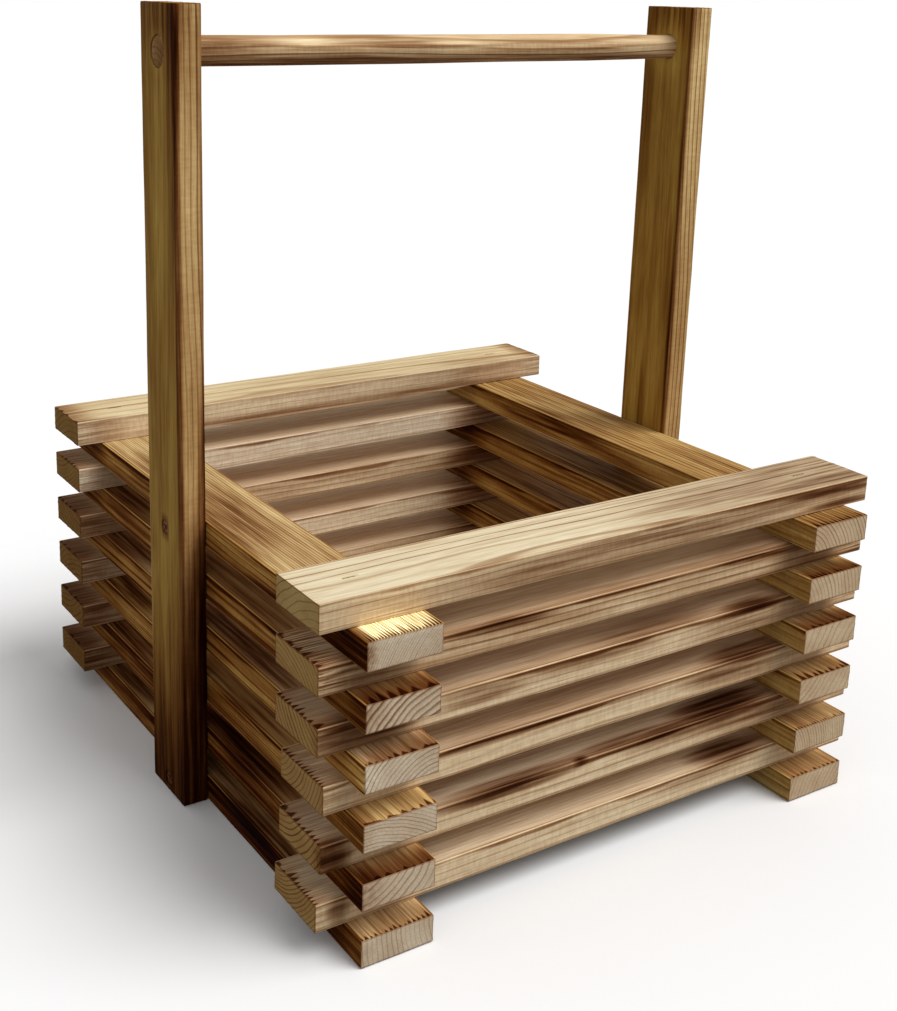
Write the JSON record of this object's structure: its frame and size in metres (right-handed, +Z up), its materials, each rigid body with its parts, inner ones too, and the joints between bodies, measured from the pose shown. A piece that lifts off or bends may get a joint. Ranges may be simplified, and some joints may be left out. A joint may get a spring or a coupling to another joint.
{
  "type": "slatted wooden box with handle",
  "caption": "Open box of stacked, gapped battens with crossed corner ends and a slatted floor, and tall side uprights that carry a round wooden handle bar.",
  "frame": {"origin": "on the ground under the middle of the box", "axes": "+Z up, +X along the front wall to the right, +Y from the front wall to the back wall"},
  "size_m": [0.4, 0.416, 0.488],
  "materials": {
    "scorched_pine": "scorched and brushed",
    "dowel_wood": "whittled and brushed",
    "staple_wire": "galvanised, dulled",
    "screw_steel": "zinc plated, dulled"
  },
  "bodies": {
    "root": {"front_slat_1": "scorched_pine", "front_slat_2": "scorched_pine", "front_slat_3": "scorched_pine", "front_slat_4": "scorched_pine", "front_slat_5": "scorched_pine", "front_slat_6": "scorched_pine", "back_slat_1": "scorched_pine", "back_slat_2": "scorched_pine", "back_slat_3": "scorched_pine", "back_slat_4": "scorched_pine", "back_slat_5": "scorched_pine", "back_slat_6": "scorched_pine", "left_slat_1": "scorched_pine", "left_slat_2": "scorched_pine", "left_slat_3": "scorched_pine", "left_slat_4": "scorched_pine", "left_slat_5": "scorched_pine", "left_slat_6": "scorched_pine", "right_slat_1": "scorched_pine", "right_slat_2": "scorched_pine", "right_slat_3": "scorched_pine", "right_slat_4": "scorched_pine", "right_slat_5": "scorched_pine", "right_slat_6": "scorched_pine", "floor_slat_1": "scorched_pine", "floor_slat_2": "scorched_pine", "floor_slat_3": "scorched_pine", "floor_slat_4": "scorched_pine", "floor_slat_5": "scorched_pine", "left_upright": "scorched_pine", "right_upright": "scorched_pine", "handle_dowel": "dowel_wood", "corner_staples_front_left": "staple_wire", "corner_staples_front_right": "staple_wire", "corner_staples_back_left": "staple_wire", "corner_staples_back_right": "staple_wire", "floor_staples": "staple_wire", "left_upright_screws": "screw_steel", "right_upright_screws": "screw_steel"}
  },
  "joints": []
}
